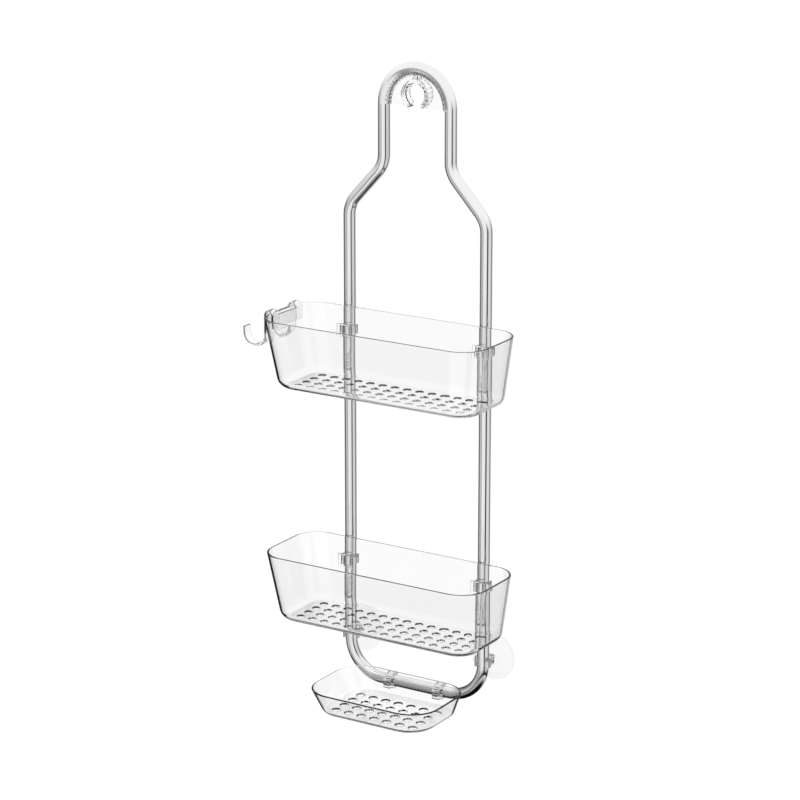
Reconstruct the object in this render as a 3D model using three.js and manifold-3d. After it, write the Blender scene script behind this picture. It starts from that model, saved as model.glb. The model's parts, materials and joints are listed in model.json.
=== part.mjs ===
// A shower caddy that hangs on a shower arm: a bent chrome tube frame in two halves, a clear grip that
// sits on the arm, two clear baskets clipped to the legs, a hook rack on the upper basket, a tilting
// soap dish on the bottom bar and two suction cups that steady the frame against the wall.
// Millimetres, +Z up, +X to the right and +Y towards the wall. The origin is on the shower arm's axis.
import * as THREE from "three";
import { mergeVertices } from "three/addons/utils/BufferGeometryUtils.js";
import Module from "manifold-3d";

const wasm = await Module();
wasm.setup();

// Driving dimensions

const gap = 0.3; // air between pieces that touch
const tubeDiameter = 12;
const tubeWall = 1;
const neckSpacing = 76; // between the two tube axes under the arch
const neckLength = 50;
const shoulderAngle = THREE.MathUtils.degToRad(42.5);
const shoulderBend = 28; // bend radii are on the tube's axis
const legSpacing = 157;
const legCornerBend = 38;
const frameDrop = 597.5; // from the arch's centre to the bottom bar's axis
const seamDrop = 252; // from the arch's centre to the seam between the frame's halves
const plugLength = 30; // swaged end of the upper half, inside the lower half

const armBore = 22; // a half inch shower arm is 21.3 across
const clampWall = 4;
const clampDepth = 12.5;
const clampMouth = 14.6;
const clampRise = 12.5; // clamp's centre above the arch's centre
const toothHeight = 0.8;
const toothCount = 13;
const linerWall = 1.6;
const webThickness = 2;
const stemWidth = 4;

const basketWidth = 250; // at the rim
const basketDepth = 96;
const basketHeight = 70.5;
const basketCorner = 27;
const basketWall = 2;
const basketFloor = 2.2;
const basketTaper = 11; // how far each end and the front lean in from rim to floor
const basketBackTaper = 1.5;
const basketFloorBend = 9;
const upperRimDrop = 207.3; // from the arch's centre to the upper basket's rim
const lowerRimRise = 147.9; // from the bottom bar's axis to the lower basket's rim
const drainDiameter = 8;
const drainPitch = 14.25;
const drainMargin = 11; // from the floor's bend to the nearest drain holes' centres

const clipWall = 2.3;
const clipHeight = 9;
const clipDrop = 25; // from a basket's rim to its clips' middles
const clipMouthAngle = THREE.MathUtils.degToRad(100);
const clipNeckWidth = 11;
const clipFlangeWidth = 16;
const clipFlangeHeight = 13;
const clipFlangeThickness = 2;

const rackStrip = 2.2; // thickness of the hook rack's strips
const rackStripWidth = 11;
const rackSpacing = 41.5; // between the two hooks' middles
const rackSlack = 2; // spare width inside the rack's saddles
const rackInnerDrop = 13;
const rackOuterDrop = 20;
const hookBend = 12.5;
const hookTip = 5;

const dishWidth = 144; // at the rim
const dishDepth = 98;
const dishHeight = 24.3;
const dishCorner = 31;
const dishTaper = 9.6;
const dishBackTaper = 2;
const dishWall = 2;
const dishFloorBend = 4;
const dishRimRise = 13.7; // rim above the bottom bar's axis
const dishHoleDiameter = 9;
const dishHolePitch = 15;
const dishHoleMargin = 13;
const dishPlateWidth = 108;
const dishPlateRise = 28.9; // top of the back plate above the bottom bar's axis
const dishPlateCorner = 14;
const lugInset = 11.5; // from the end of the bottom bar's straight run to a lug's middle
const lugWidth = 8;

const cupDiameter = 50;
const cupReach = 19; // from the leg's axis to the cup's wall face
const cupLift = 3.5; // from the top of the legs' corner bends to the cups' middles
const cupNeckDiameter = 6;
const cupClipHeight = 10;
const cupBossLength = 6;

// Sizes and places that follow from the driving dimensions

const tubeRadius = tubeDiameter / 2;
const neckHalf = neckSpacing / 2;
const legHalf = legSpacing / 2;
const archZ = -clampRise;
const barZ = archZ - frameDrop;
const seamZ = archZ - seamDrop;
const basketBackY = -(tubeRadius + 2 * gap);
const dishBackY = -(tubeRadius + clipWall + gap);
const upperRimZ = archZ - upperRimDrop;
const lowerRimZ = barZ + lowerRimRise;
const lugSpacing = 2 * (legHalf - legCornerBend - lugInset);
const cupRise = legCornerBend + cupLift;

// Materials

const chrome = new THREE.MeshStandardMaterial({ color: 0xd5d8da, roughness: 0.12, metalness: 1 });
const clearPlastic = new THREE.MeshStandardMaterial({
  color: 0xf3f5f6, roughness: 0.05, metalness: 0, transparent: true, opacity: 0.3,
});
const clearVinyl = new THREE.MeshStandardMaterial({
  color: 0xf7f7f5, roughness: 0.25, metalness: 0, transparent: true, opacity: 0.35,
});

// Turning geometry into solids, and joining and cutting them

function solid(geometry) {
  const bare = geometry.clone();
  bare.deleteAttribute("normal");
  bare.deleteAttribute("uv");
  const merged = mergeVertices(bare, 1e-4);
  return new wasm.Manifold(new wasm.Mesh({
    numProp: 3,
    vertProperties: new Float32Array(merged.attributes.position.array),
    triVerts: new Uint32Array(merged.index.array),
  }));
}

function joined(...geometries) {
  return geometries.map(solid).reduce((whole, piece) => whole.add(piece));
}

function surface(body) {
  const mesh = body.getMesh();
  const geometry = new THREE.BufferGeometry();
  geometry.setAttribute("position", new THREE.BufferAttribute(mesh.vertProperties, 3));
  geometry.setIndex(new THREE.BufferAttribute(mesh.triVerts, 1));
  const faceted = geometry.toNonIndexed();
  faceted.computeVertexNormals();
  return faceted;
}

function piece(name, body, material, x = 0, y = 0, z = 0) {
  const mesh = new THREE.Mesh(surface(body), material);
  mesh.name = name;
  mesh.position.set(x, y, z);
  return mesh;
}

// Basic shapes

function box(lowX, highX, lowY, highY, lowZ, highZ) {
  const geometry = new THREE.BoxGeometry(highX - lowX, highY - lowY, highZ - lowZ);
  return geometry.translate((lowX + highX) / 2, (lowY + highY) / 2, (lowZ + highZ) / 2);
}

function cylinder(radius, length, sides, axis) {
  const geometry = new THREE.CylinderGeometry(radius, radius, length, sides);
  if (axis === "x") geometry.rotateZ(Math.PI / 2);
  if (axis === "z") geometry.rotateX(Math.PI / 2);
  return geometry;
}

function ringSection(outerRadius, innerRadius) {
  const shape = new THREE.Shape().absarc(0, 0, outerRadius, 0, 2 * Math.PI);
  shape.holes.push(new THREE.Path().absarc(0, 0, innerRadius, 0, 2 * Math.PI, true));
  return shape;
}

function stripSection(width, thickness) {
  const shape = new THREE.Shape();
  shape.moveTo(-width / 2, -thickness / 2);
  shape.lineTo(width / 2, -thickness / 2);
  shape.lineTo(width / 2, thickness / 2);
  shape.lineTo(-width / 2, thickness / 2);
  shape.closePath();
  return shape;
}

function roundedOutline(width, depth, radius) {
  const shape = new THREE.Shape();
  const half = width / 2 - radius;
  shape.absarc(half, -radius, radius, 0, Math.PI / 2);
  shape.absarc(-half, -radius, radius, Math.PI / 2, Math.PI);
  shape.absarc(-half, radius - depth, radius, Math.PI, Math.PI * 1.5);
  shape.absarc(half, radius - depth, radius, Math.PI * 1.5, Math.PI * 2);
  shape.closePath();
  return shape;
}

// A path in the XZ plane of straight runs joined by arcs. A section swept along it has rings only where
// a straight run ends and along the arcs. Section x is -Y, and section y is to the path's right hand.
class BentPath extends THREE.Curve {
  constructor(corners, arcStep = Math.PI / 14) {
    super();
    this.stations = BentPath.round(corners, arcStep);
  }

  static round(corners, arcStep) {
    const points = corners.map(([x, z]) => new THREE.Vector3(x, 0, z));
    const headings = points.slice(1).map((point, i) => point.clone().sub(points[i]).normalize());
    const stations = [{ point: points[0], heading: headings[0] }];
    for (let i = 1; i < points.length - 1; i++) {
      const turn = headings[i - 1].angleTo(headings[i]);
      const side = Math.sign(headings[i - 1].clone().cross(headings[i]).y);
      const bend = corners[i][2];
      const start = points[i].clone().addScaledVector(headings[i - 1], -bend * Math.tan(turn / 2));
      const axis = new THREE.Vector3(0, side, 0);
      const centre = start.clone().addScaledVector(axis.clone().cross(headings[i - 1]), bend);
      const steps = Math.max(2, Math.ceil(turn / arcStep));
      for (let step = 0; step <= steps; step++) {
        const angle = (turn * step) / steps;
        stations.push({
          point: start.clone().sub(centre).applyAxisAngle(axis, angle).add(centre),
          heading: headings[i - 1].clone().applyAxisAngle(axis, angle),
        });
      }
    }
    stations.push({ point: points.at(-1), heading: headings.at(-1) });
    return stations.filter((now, i) => i === 0 || now.point.distanceTo(stations[i - 1].point) > 0.01);
  }

  stationAt(u) {
    return this.stations[Math.round(u * (this.stations.length - 1))];
  }

  getPointAt(u, target = new THREE.Vector3()) {
    return target.copy(this.stationAt(u).point);
  }

  getTangentAt(u, target = new THREE.Vector3()) {
    return target.copy(this.stationAt(u).heading);
  }
}

function swept(section, corners, sectionSides = 4) {
  const path = new BentPath(corners);
  return new THREE.ExtrudeGeometry(section, {
    extrudePath: path,
    steps: path.stations.length - 1,
    curveSegments: sectionSides / 2,
  });
}

// The frame

const shoulderCorners = (() => {
  const sideways = legHalf - neckHalf;
  const neckEndZ = archZ - neckLength - shoulderBend * Math.tan(shoulderAngle / 2);
  return { neckEndZ, legTopZ: neckEndZ - sideways / Math.tan(shoulderAngle) };
})();

function frameTube(corners) {
  const section = ringSection(tubeRadius, tubeRadius - tubeWall);
  return swept(section, corners, 16);
}

function swagedPlug(x) {
  const outer = tubeRadius - tubeWall - gap;
  const inner = outer - tubeWall;
  const overlap = tubeRadius - tubeWall / 2;
  const profile = [
    [inner, -plugLength],
    [outer, -plugLength],
    [outer, 0],
    [overlap, 0],
    [overlap, 2 * tubeWall],
    [inner, 2 * tubeWall],
    [inner, -plugLength],
  ].map(([r, z]) => new THREE.Vector2(r, z));
  return new THREE.LatheGeometry(profile, 16).rotateX(Math.PI / 2).translate(x, 0, seamZ);
}

function upperFrame() {
  const { neckEndZ, legTopZ } = shoulderCorners;
  const topZ = archZ + neckHalf;
  const tube = frameTube([
    [-legHalf, seamZ],
    [-legHalf, legTopZ, shoulderBend],
    [-neckHalf, neckEndZ, shoulderBend],
    [-neckHalf, topZ, neckHalf],
    [neckHalf, topZ, neckHalf],
    [neckHalf, neckEndZ, shoulderBend],
    [legHalf, legTopZ, shoulderBend],
    [legHalf, seamZ],
  ]);
  return piece("upper_frame", joined(tube, swagedPlug(-legHalf), swagedPlug(legHalf)), chrome);
}

function lowerFrame() {
  const tube = frameTube([
    [-legHalf, seamZ - gap],
    [-legHalf, barZ, legCornerBend],
    [legHalf, barZ, legCornerBend],
    [legHalf, seamZ - gap],
  ]);
  return piece("lower_frame", solid(tube), chrome);
}

// The grip: a half channel under the arch, a thin web, and a toothed clamp open at the bottom

function halfChannelSection(innerRadius, outerRadius) {
  const shape = new THREE.Shape();
  shape.absarc(0, 0, outerRadius, 0, Math.PI);
  shape.absarc(0, 0, innerRadius, Math.PI, 0, true);
  shape.closePath();
  return shape;
}

function armClamp() {
  const boreRadius = armBore / 2 + toothHeight;
  const outerRadius = boreRadius + clampWall - toothHeight;
  const ring = joined(cylinder(outerRadius, clampDepth, 40, "y"));
  const teeth = Array.from({ length: toothCount }, (_, i) => {
    const angle = Math.PI * ((1.4 * i) / (toothCount - 1) - 0.2);
    const tooth = cylinder(toothHeight * 1.4, clampDepth, 4, "y");
    return tooth.translate(boreRadius * Math.cos(angle), 0, boreRadius * Math.sin(angle));
  });
  const bore = solid(cylinder(boreRadius, 2 * clampDepth, 40, "y"));
  return { ring, bore, teeth: joined(...teeth).intersect(ring) };
}

function showerArmGrip() {
  const channelInner = tubeRadius + gap;
  const channelOuter = channelInner + linerWall;
  const topZ = archZ + neckHalf;
  const channel = swept(halfChannelSection(channelInner, channelOuter), [
    [-neckHalf, archZ],
    [-neckHalf, topZ, neckHalf],
    [neckHalf, topZ, neckHalf],
    [neckHalf, archZ],
  ], 8);
  const webRadius = neckHalf - channelInner - linerWall / 2;
  const half = new THREE.Shape().absarc(0, 0, webRadius, 0, Math.PI);
  half.closePath();
  const web = new THREE.ExtrudeGeometry(half, { depth: webThickness, bevelEnabled: false, curveSegments: 12 })
    .rotateX(Math.PI / 2)
    .translate(0, webThickness / 2, archZ);
  const stemTop = archZ + neckHalf - channelInner - linerWall / 2;
  const stem = box(-stemWidth / 2, stemWidth / 2, -clampDepth / 2, clampDepth / 2, armBore / 2 + 2, stemTop);
  const { ring, bore, teeth } = armClamp();
  const mouth = box(-clampMouth / 2, clampMouth / 2, -clampDepth, clampDepth, -armBore, -toothHeight);
  const body = joined(channel, web, stem).add(ring).subtract(bore).add(teeth).subtract(solid(mouth));
  return piece("shower_arm_grip", body, clearPlastic);
}

// Tubs with leaning walls: the baskets and the soap dish

function lofted(width, depth, radius, levels) {
  const geometry = new THREE.ExtrudeGeometry(roundedOutline(width, depth, radius), {
    depth: levels.length - 1,
    steps: levels.length - 1,
    bevelEnabled: false,
    curveSegments: 3,
  });
  const position = geometry.getAttribute("position");
  for (let i = 0; i < position.count; i++) {
    const { z, inset, backInset } = levels[Math.round(position.getZ(i))];
    const x = position.getX(i) * (1 - (2 * inset) / width);
    const y = -backInset + position.getY(i) * (1 - (inset + backInset) / depth);
    position.setXYZ(i, x, y, z);
  }
  return geometry;
}

// Levels from the floor up, with z = 0 at the rim. The walls lean straight and the floor's edge is an arc.
function tubLevels({ height, taper, backTaper, bend }, wall, floorLift, topLift) {
  const arcSteps = 4;
  const floorZ = -height + floorLift;
  const arc = Array.from({ length: arcSteps + 1 }, (_, i) => {
    const angle = (Math.PI / 2) * (i / arcSteps);
    return { z: floorZ + bend * (1 - Math.cos(angle)), extra: bend * (1 - Math.sin(angle)) };
  });
  return [...arc, { z: topLift, extra: 0 }].map(({ z, extra }) => ({
    z,
    inset: wall + extra - (taper * z) / height,
    backInset: wall + extra - (backTaper * z) / height,
  }));
}

function tub(size, wall, floor) {
  const outer = lofted(size.width, size.depth, size.corner, tubLevels(size, 0, 0, 0));
  const innerSize = { ...size, bend: Math.max(size.bend - wall, 1) };
  const inner = lofted(size.width, size.depth, size.corner, tubLevels(innerSize, wall, floor, 1));
  return solid(outer).subtract(solid(inner));
}

// A square grid of round holes in a tub's floor, centred in X, its first row near the front
function drainHoles({ width, depth, height, taper, backTaper, bend }, margin, pitch, diameter) {
  const inset = taper + bend + margin;
  const frontY = inset - depth;
  const backY = -(backTaper + bend + margin);
  const rows = Math.floor((backY - frontY) / pitch) + 1;
  const columns = Math.floor((width - 2 * inset) / pitch) + 1;
  const firstX = (-(columns - 1) * pitch) / 2;
  const holes = [];
  for (let row = 0; row < rows; row++) {
    for (let column = 0; column < columns; column++) {
      const hole = cylinder(diameter / 2, height / 2, 8, "z");
      holes.push(hole.translate(firstX + column * pitch, frontY + row * pitch, -height));
    }
  }
  return joined(...holes);
}

const basketSize = {
  width: basketWidth,
  depth: basketDepth,
  height: basketHeight,
  corner: basketCorner,
  taper: basketTaper,
  backTaper: basketBackTaper,
  bend: basketFloorBend,
};

// The back wall's outer face at the clips' height
const clipWallY = basketBackY - (basketBackTaper * clipDrop) / basketHeight;

function basket(name, rimZ) {
  const holes = drainHoles(basketSize, drainMargin, drainPitch, drainDiameter);
  const windowHalf = clipNeckWidth / 2 + gap;
  const windows = [-legHalf, legHalf].map((x) => box(
    x - windowHalf, x + windowHalf,
    -4 * basketWall, basketWall,
    -clipDrop - clipHeight / 2 - gap, -clipDrop + clipHeight / 2 + gap,
  ));
  const body = tub(basketSize, basketWall, basketFloor).subtract(holes).subtract(joined(...windows));
  return piece(name, body, clearPlastic, 0, basketBackY, rimZ);
}

// An open ring round a tube, with its mouth towards +Y
function openRing(height, axis) {
  const inner = tubeRadius + gap;
  const outer = inner + clipWall;
  const ring = solid(cylinder(outer, height, 24, axis));
  const bore = solid(cylinder(inner, 2 * height, 24, axis));
  const mouthReach = 2 * outer;
  const mouthHalf = mouthReach * Math.tan(clipMouthAngle / 2);
  const wedge = new THREE.Shape();
  wedge.moveTo(0, 0);
  wedge.lineTo(mouthHalf, mouthReach);
  wedge.lineTo(-mouthHalf, mouthReach);
  wedge.closePath();
  const mouth = new THREE.ExtrudeGeometry(wedge, { depth: 2 * height, bevelEnabled: false });
  mouth.translate(0, 0, -height);
  if (axis === "x") mouth.rotateY(Math.PI / 2);
  return { ring, bore, mouth: solid(mouth) };
}

function basketClip(name, x, rimZ) {
  const halfNeck = clipNeckWidth / 2;
  const halfHeight = clipHeight / 2;
  const lean = (basketBackTaper * clipFlangeHeight) / (2 * basketHeight);
  const flangeY = clipWallY - basketWall - gap - lean;
  const neck = box(-halfNeck, halfNeck, flangeY, 0, -halfHeight, halfHeight);
  const flange = box(
    -clipFlangeWidth / 2, clipFlangeWidth / 2,
    flangeY - clipFlangeThickness, flangeY,
    -clipFlangeHeight / 2, clipFlangeHeight / 2,
  );
  const { ring, bore, mouth } = openRing(clipHeight, "z");
  const body = ring.add(joined(neck, flange)).subtract(bore).subtract(mouth);
  return piece(name, body, clearPlastic, x, 0, rimZ - clipDrop);
}

// The hook rack, drawn upright over an end wall whose rim is at z = 0 with its outer edge at x = 0. Its
// outer plate hangs plumb, clear of the wall that leans away under it, and its inner plate clears the lean.

function hookRack() {
  const outerX = -(gap + rackStrip / 2);
  const leanIn = (basketTaper * rackInnerDrop) / basketHeight;
  const innerX = basketWall + leanIn + gap + rackStrip / 2 + rackSlack;
  const saddleSpan = innerX - outerX;
  const saddleBend = saddleSpan / 2;
  const saddleZ = gap + rackStrip / 2 + saddleBend / 2;
  const hookX = outerX - 2 * hookBend;
  const hookBottomZ = -rackOuterDrop - hookBend;
  const strip = () => swept(stripSection(rackStripWidth, rackStrip), [
    [innerX, -rackInnerDrop],
    [innerX, saddleZ, saddleBend],
    [outerX, saddleZ, saddleBend],
    [outerX, hookBottomZ, hookBend],
    [hookX, hookBottomZ, hookBend],
    [hookX, hookBottomZ + hookBend + hookTip],
  ]);
  const strips = [-1, 1].map((side) => strip().translate(0, (side * rackSpacing) / 2, 0));
  const halfSpan = (rackSpacing + rackStripWidth) / 2;
  const half = rackStrip / 2;
  const outerPlate = box(outerX - half, outerX + half, -halfSpan, halfSpan, -rackOuterDrop, -gap);
  const innerPlate = box(innerX - half, innerX + half, -halfSpan, halfSpan, -rackInnerDrop, -gap);
  const mesh = piece("hook_rack", joined(...strips, outerPlate, innerPlate), clearPlastic);
  mesh.position.set(-basketWidth / 2, basketBackY - basketDepth / 2, upperRimZ);
  return mesh;
}

// The soap dish, drawn with its origin on the bottom bar's axis

function dishPlate() {
  const half = dishPlateWidth / 2;
  const shape = new THREE.Shape();
  shape.moveTo(-half, 0);
  shape.lineTo(half, 0);
  shape.absarc(half - dishPlateCorner, dishPlateRise - dishPlateCorner, dishPlateCorner, 0, Math.PI / 2);
  shape.absarc(dishPlateCorner - half, dishPlateRise - dishPlateCorner, dishPlateCorner, Math.PI / 2, Math.PI);
  shape.closePath();
  return new THREE.ExtrudeGeometry(shape, { depth: dishWall, bevelEnabled: false, curveSegments: 3 })
    .rotateX(Math.PI / 2)
    .translate(0, dishBackY, 0);
}

function soapDish() {
  const size = {
    width: dishWidth,
    depth: dishDepth,
    height: dishHeight,
    corner: dishCorner,
    taper: dishTaper,
    backTaper: dishBackTaper,
    bend: dishFloorBend,
  };
  const holes = drainHoles(size, dishHoleMargin, dishHolePitch, dishHoleDiameter);
  const dish = tub(size, dishWall, dishWall).subtract(holes).translate([0, dishBackY, dishRimRise]);
  const { ring, bore, mouth } = openRing(lugWidth, "x");
  const pad = box(-lugWidth / 2, lugWidth / 2, dishBackY - dishWall, 0, -tubeRadius, tubeRadius);
  const lug = ring.add(solid(pad)).subtract(bore).subtract(mouth);
  const body = [-lugSpacing / 2, lugSpacing / 2].reduce(
    (whole, x) => whole.add(lug.translate([x, 0, 0])),
    dish.add(solid(dishPlate())),
  );
  return piece("soap_dish", body, clearPlastic, 0, 0, barZ);
}

// Suction cups and the clips that hold them on the legs, drawn with the origin on the leg's axis

const cupBossEnd = tubeRadius + gap + cupBossLength;
const cupSocketStart = tubeRadius + gap + clipWall;

function cupClip(name, x) {
  const { ring, bore, mouth } = openRing(cupClipHeight, "z");
  const half = tubeRadius + gap;
  const boss = box(-half, half, 0, cupBossEnd, -cupClipHeight / 2, cupClipHeight / 2);
  const socket = cylinder(cupNeckDiameter / 2 + gap, 2 * cupBossLength, 16, "y")
    .translate(0, cupSocketStart + cupBossLength, 0);
  const frontMouth = mouth.rotate([0, 0, 180]);
  const body = ring.subtract(frontMouth).add(solid(boss)).subtract(bore).subtract(solid(socket));
  return piece(name, body, clearPlastic, x, 0, barZ + cupRise);
}

function suctionCup(name, x) {
  const neck = cupNeckDiameter / 2;
  const rim = cupDiameter / 2;
  const seat = cupBossEnd + gap;
  const rise = cupReach - seat;
  const profile = [
    [0, cupSocketStart + gap],
    [neck, cupSocketStart + gap],
    [neck, seat],
    [2 * neck, seat],
    [2.6 * neck, seat + 0.35 * rise],
    [0.64 * rim, seat + 0.62 * rise],
    [rim, cupReach - 1],
    [rim, cupReach],
    [rim - 2.5, cupReach],
    [0.6 * rim, cupReach - 0.22 * rise],
    [0.3 * rim, cupReach - 0.38 * rise],
    [0, cupReach - 0.42 * rise],
  ].map(([r, y]) => new THREE.Vector2(r, y));
  return piece(name, solid(new THREE.LatheGeometry(profile, 32)), clearVinyl, x, 0, barZ + cupRise);
}

// The whole caddy

const group = new THREE.Group();
group.add(upperFrame(), lowerFrame(), showerArmGrip());
for (const [level, rimZ] of [["upper", upperRimZ], ["lower", lowerRimZ]]) {
  group.add(basket(`${level}_basket`, rimZ));
  group.add(basketClip(`${level}_basket_clip_left`, -legHalf, rimZ));
  group.add(basketClip(`${level}_basket_clip_right`, legHalf, rimZ));
}
group.add(hookRack(), soapDish());
for (const [side, x] of [["left", -legHalf], ["right", legHalf]]) {
  group.add(cupClip(`suction_cup_clip_${side}`, x));
  group.add(suctionCup(`suction_cup_${side}`, x));
}

export default group;
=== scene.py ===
"""A shower caddy that hangs on a shower arm: polished chrome tube, clear moulded plastic, soft clear cups.

Lengths are in metres. +Z is up and +Y is towards the wall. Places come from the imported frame's boxes; sizes
that a box doesn't tell, such as walls, bends and leans, are the named values below.
"""

import json
import math

import bmesh
import bpy
from mathutils import Matrix, Vector

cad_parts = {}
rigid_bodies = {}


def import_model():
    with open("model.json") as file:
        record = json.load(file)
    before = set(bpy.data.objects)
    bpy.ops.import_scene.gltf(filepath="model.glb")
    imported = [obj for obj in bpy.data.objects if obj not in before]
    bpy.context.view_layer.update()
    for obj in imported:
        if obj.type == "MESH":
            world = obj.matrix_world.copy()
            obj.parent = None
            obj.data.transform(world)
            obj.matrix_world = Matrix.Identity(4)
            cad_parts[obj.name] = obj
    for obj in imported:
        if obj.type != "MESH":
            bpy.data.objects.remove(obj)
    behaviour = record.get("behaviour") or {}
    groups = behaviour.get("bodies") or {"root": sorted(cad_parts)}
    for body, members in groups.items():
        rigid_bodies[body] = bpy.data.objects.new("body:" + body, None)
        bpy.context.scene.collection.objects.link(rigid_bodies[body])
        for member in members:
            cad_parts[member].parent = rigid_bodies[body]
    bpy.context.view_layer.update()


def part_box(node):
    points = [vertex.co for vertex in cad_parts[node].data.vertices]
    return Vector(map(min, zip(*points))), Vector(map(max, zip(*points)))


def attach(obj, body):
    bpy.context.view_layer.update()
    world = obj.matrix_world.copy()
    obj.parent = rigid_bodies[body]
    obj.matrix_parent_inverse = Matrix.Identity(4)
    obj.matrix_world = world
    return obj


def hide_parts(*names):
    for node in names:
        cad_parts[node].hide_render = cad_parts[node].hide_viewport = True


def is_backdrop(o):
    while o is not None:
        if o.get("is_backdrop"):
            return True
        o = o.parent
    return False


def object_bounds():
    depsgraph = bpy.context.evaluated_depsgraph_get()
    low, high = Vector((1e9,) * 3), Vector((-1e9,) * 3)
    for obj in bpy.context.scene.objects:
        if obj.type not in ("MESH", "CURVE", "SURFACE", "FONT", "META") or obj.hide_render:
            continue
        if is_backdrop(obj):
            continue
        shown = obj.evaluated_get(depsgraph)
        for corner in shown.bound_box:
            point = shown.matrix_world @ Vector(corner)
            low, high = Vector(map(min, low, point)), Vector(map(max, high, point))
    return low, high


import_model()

MM = 0.001
GAP = 0.3 * MM  # air between pieces that touch

# ---------------------------------------------------------------- sizes

TUBE_WALL = 1 * MM
NECK_LENGTH = 50 * MM
SHOULDER_ANGLE = math.radians(42.5)
SHOULDER_BEND = 28 * MM
CORNER_BEND = 38 * MM
PLUG_LENGTH = 30 * MM

ARM_BORE = 22 * MM
CLAMP_WALL = 4 * MM
CLAMP_DEPTH = 12.5 * MM
CLAMP_MOUTH = 14.6 * MM
CLAMP_ROUNDING = 0.6 * MM
CLAMP_TEETH = 13
TOOTH_HEIGHT = 0.8 * MM
TOOTH_RADIUS = 0.96 * MM
TOOTH_LENGTH = 11.3 * MM
TOOTH_ARC = math.radians(244.8)  # round the bore, centred on its top
LINER_WALL = 1.6 * MM
LINER_LIP = 0.7 * MM  # rounding of the lips
LINER_SLOT_PITCH = 4.6 * MM
LINER_SLOT = 2.9 * MM
LINER_SLOT_DEPTH = 10.6 * MM  # along Y
WEB_THICKNESS = 2 * MM
STEM_WIDTH = 3.4 * MM

BASKET_CORNER = 27 * MM
BASKET_WALL = 2 * MM
BASKET_LEAN = 11 * MM
BASKET_BACK_LEAN = 1.5 * MM
BASKET_FLOOR_BEND = 9 * MM
BASKET_HOLE = 8 * MM
BASKET_HOLE_PITCH = 14.25 * MM
BASKET_HOLE_MARGIN = 11 * MM
RIM_ROUNDING = 0.55 * MM
HOLE_FLARE = 0.3 * MM
PUNCH_REACH = 2 * MM  # how far a punch stands out of the floor it cuts
CLIP_WALL = 2.3 * MM
CLIP_MOUTH = math.radians(100)
CLIP_NECK_WIDTH = 11 * MM
CLIP_NECK_HEIGHT = 9 * MM
CLIP_FLANGE = 2 * MM
CLIP_ROUNDING = 0.5 * MM
FLANGE_ROUNDING = 0.6 * MM

RACK_STRIP = 2.2 * MM
RACK_STRIP_WIDTH = 11 * MM
RACK_ROUNDING = 0.7 * MM
RACK_INNER_DROP = 13 * MM
RACK_OUTER_DROP = 20 * MM
HOOK_BEND = 12.5 * MM
HOOK_TIP = 5 * MM

DISH_CORNER = 31 * MM
DISH_HEIGHT = 24.3 * MM
DISH_WALL = 2 * MM
DISH_LEAN = 9.6 * MM
DISH_BACK_LEAN = 2 * MM
DISH_FLOOR_BEND = 4 * MM
DISH_HOLE = 9 * MM
DISH_HOLE_PITCH = 15 * MM
DISH_HOLE_MARGIN = 13 * MM
PLATE_WIDTH = 108 * MM
PLATE_CORNER = 14 * MM
PLATE_ROUNDING = 0.6 * MM
LUG_INSET = 11.5 * MM  # from the end of the bar's straight run to a lug's middle
LUG_WIDTH = 8 * MM

CUP_NECK = 6 * MM
CUP_NECK_CHAMFER = 0.6 * MM
CUP_CLIP_HEIGHT = 10 * MM
CUP_LIP = 1 * MM
CUP_LIP_WIDTH = 2.5 * MM
CUP_BOSS_ROUNDING = 0.8 * MM

TUBE_SIDES = 48
ARC_STEP = math.radians(4)

# ---------------------------------------------------------------- places, from the frame

_, upper_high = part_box("upper_frame")
lower_low, lower_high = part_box("lower_frame")
_, grip_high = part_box("shower_arm_grip")
tube_radius = upper_high.y
leg_x = upper_high.x - tube_radius
neck_x = grip_high.x
arch_z = upper_high.z - tube_radius - neck_x
seam_z = lower_high.z
bar_z = lower_low.z + tube_radius


# ---------------------------------------------------------------- mesh helpers

def of_kind(geom, kind):
    return [item for item in geom if isinstance(item, kind)]


def new_object(name, bm):
    """A scene object from a bmesh, with its faces turned outwards."""
    bmesh.ops.recalc_face_normals(bm, faces=bm.faces)
    mesh = bpy.data.meshes.new(name)
    bm.to_mesh(mesh)
    bm.free()
    obj = bpy.data.objects.new(name, mesh)
    bpy.context.scene.collection.objects.link(obj)
    return obj


def apply_modifiers(obj):
    """Bakes an object's modifiers into its mesh."""
    graph = bpy.context.evaluated_depsgraph_get()
    baked = bpy.data.meshes.new_from_object(obj.evaluated_get(graph))
    old = obj.data
    obj.modifiers.clear()
    obj.data = baked
    baked.name = obj.name
    bpy.data.meshes.remove(old)


def modify(obj, kind, **settings):
    modifier = obj.modifiers.new(kind.lower(), kind)
    for key, value in settings.items():
        setattr(modifier, key, value)
    return modifier


def combine(obj, others, operation):
    """Joins other objects to this one, or cuts them out of it, and removes them."""
    for other in others:
        modify(obj, "BOOLEAN", object=other, operation=operation, solver="EXACT")
        apply_modifiers(obj)
        bpy.data.objects.remove(other)
    return obj


def joined(name, objects):
    """One object that holds the separate shells of several, so that one boolean cuts or joins them all."""
    bm = bmesh.new()
    for obj in objects:
        bm.from_mesh(obj.data)
        bpy.data.objects.remove(obj)
    return new_object(name, bm)


def soften(obj, width, segments=3, angle=50):
    """Rounds the edges that are sharper than the angle."""
    modify(obj, "BEVEL", width=width, segments=segments, limit_method="ANGLE",
           angle_limit=math.radians(angle), harden_normals=False)
    apply_modifiers(obj)
    return obj


def finish_piece(obj, material, body, replaced, smooth=32, weighted=False):
    """Smooth shading, material, body and the CAD node that the piece stands for."""
    obj.data.shade_smooth()
    obj.data.set_sharp_from_angle(angle=math.radians(smooth))
    if weighted:
        modify(obj, "WEIGHTED_NORMAL", keep_sharp=True, weight=60)
        apply_modifiers(obj)
    obj.data.materials.clear()
    obj.data.materials.append(material)
    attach(obj, body)
    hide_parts(replaced)
    return obj


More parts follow.
